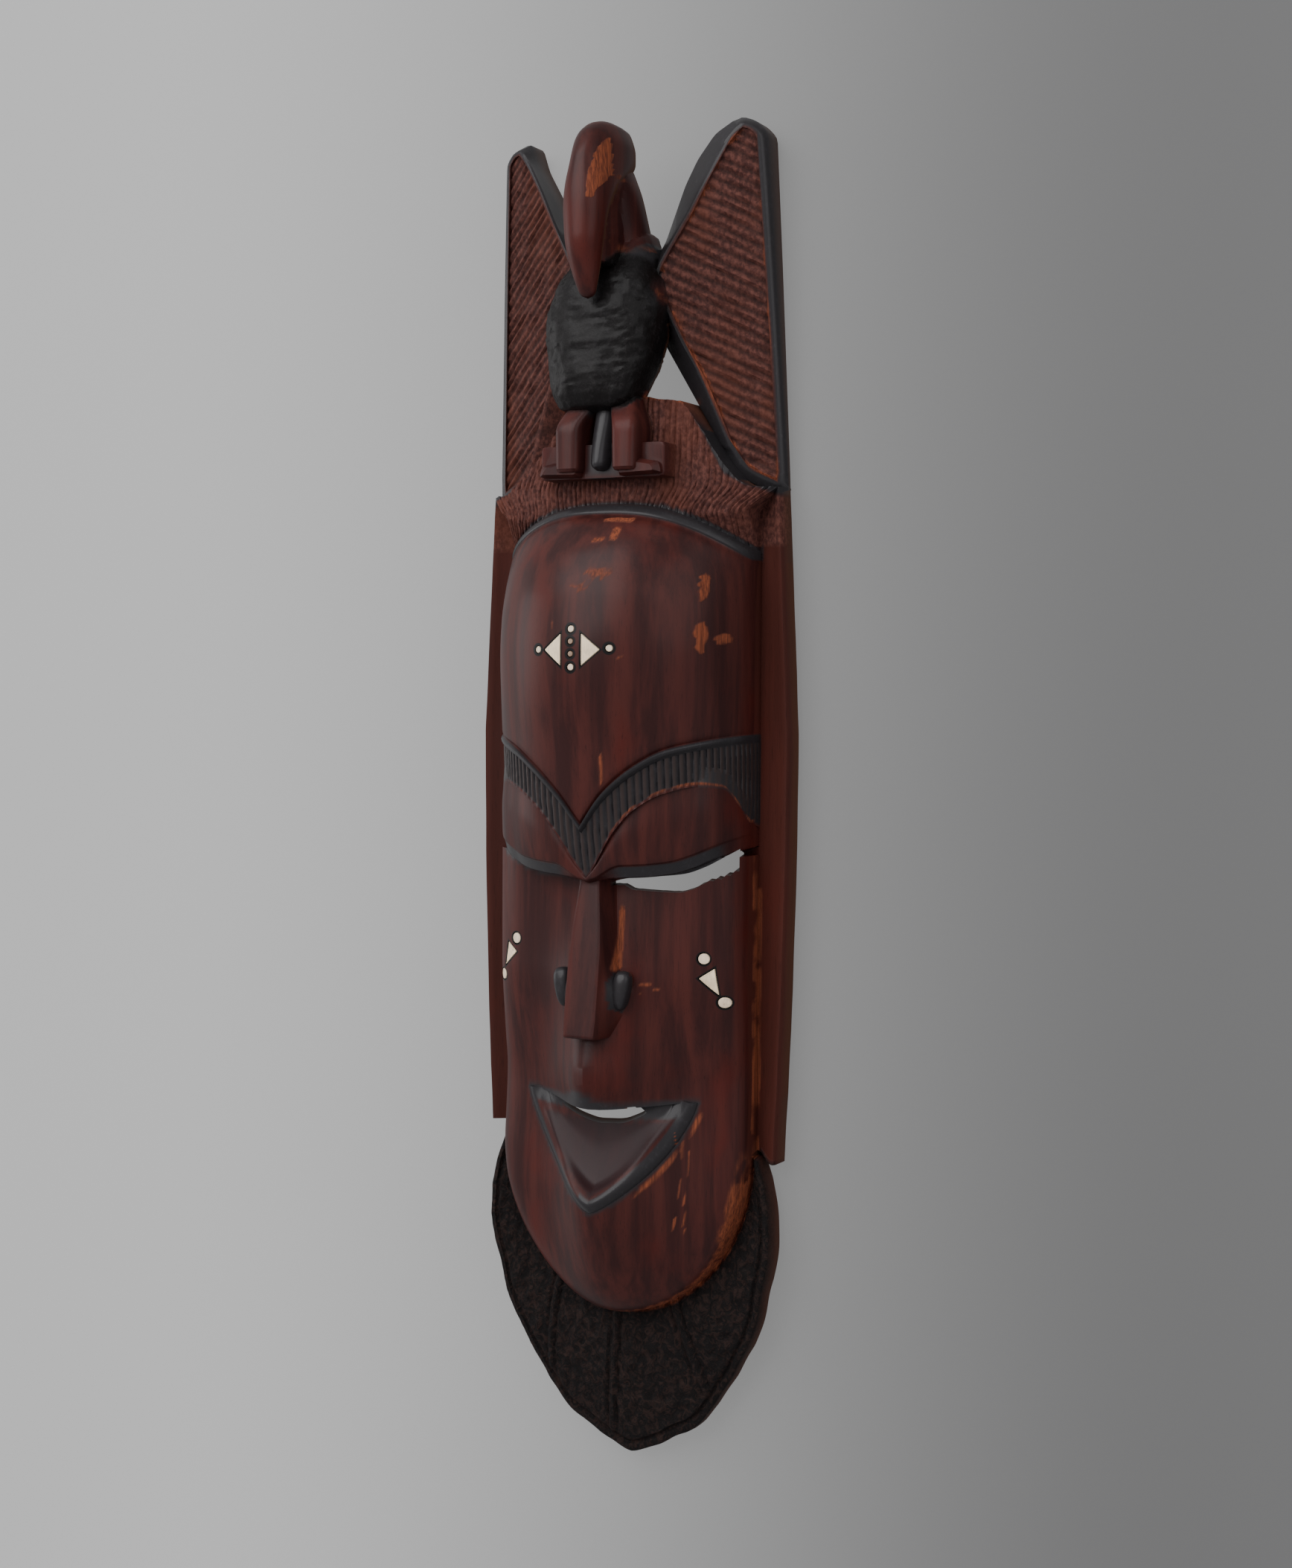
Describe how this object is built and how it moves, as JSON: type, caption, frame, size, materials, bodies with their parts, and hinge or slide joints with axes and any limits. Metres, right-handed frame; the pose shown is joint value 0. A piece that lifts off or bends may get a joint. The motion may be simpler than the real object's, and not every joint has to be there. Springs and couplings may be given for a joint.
{
  "type": "carved wooden mask",
  "caption": "Long carved wooden wall mask: bird with spread wings above an arched forehead, hatched brow, open eye slit, slab nose, V mouth, bearded chin, bone inlays, hollow back",
  "frame": {"origin": "Centre of the bounding box in plan, on the flat back rim that the mask lies on.", "axes": "+X to the viewer's right across the face, +Y towards the top of the bird, +Z out of the face, up from the floor."},
  "size_m": [0.13, 0.4998, 0.0595],
  "materials": {
    "hardwood": "polished dark red-brown hardwood, black stained carving",
    "bone": "cream bone, satin"
  },
  "bodies": {
    "root": {"mask": "hardwood", "inlay_cheek_dot_low_left": "bone", "inlay_cheek_dot_low_right": "bone", "inlay_cheek_dot_top_left": "bone", "inlay_cheek_dot_top_right": "bone", "inlay_cheek_triangle_left": "bone", "inlay_cheek_triangle_right": "bone", "inlay_forehead_dot_bottom": "bone", "inlay_forehead_dot_left": "bone", "inlay_forehead_dot_right": "bone", "inlay_forehead_dot_top": "bone", "inlay_forehead_pin_bottom": "bone", "inlay_forehead_pin_top": "bone", "inlay_forehead_triangle_left": "bone", "inlay_forehead_triangle_right": "bone"}
  },
  "joints": []
}
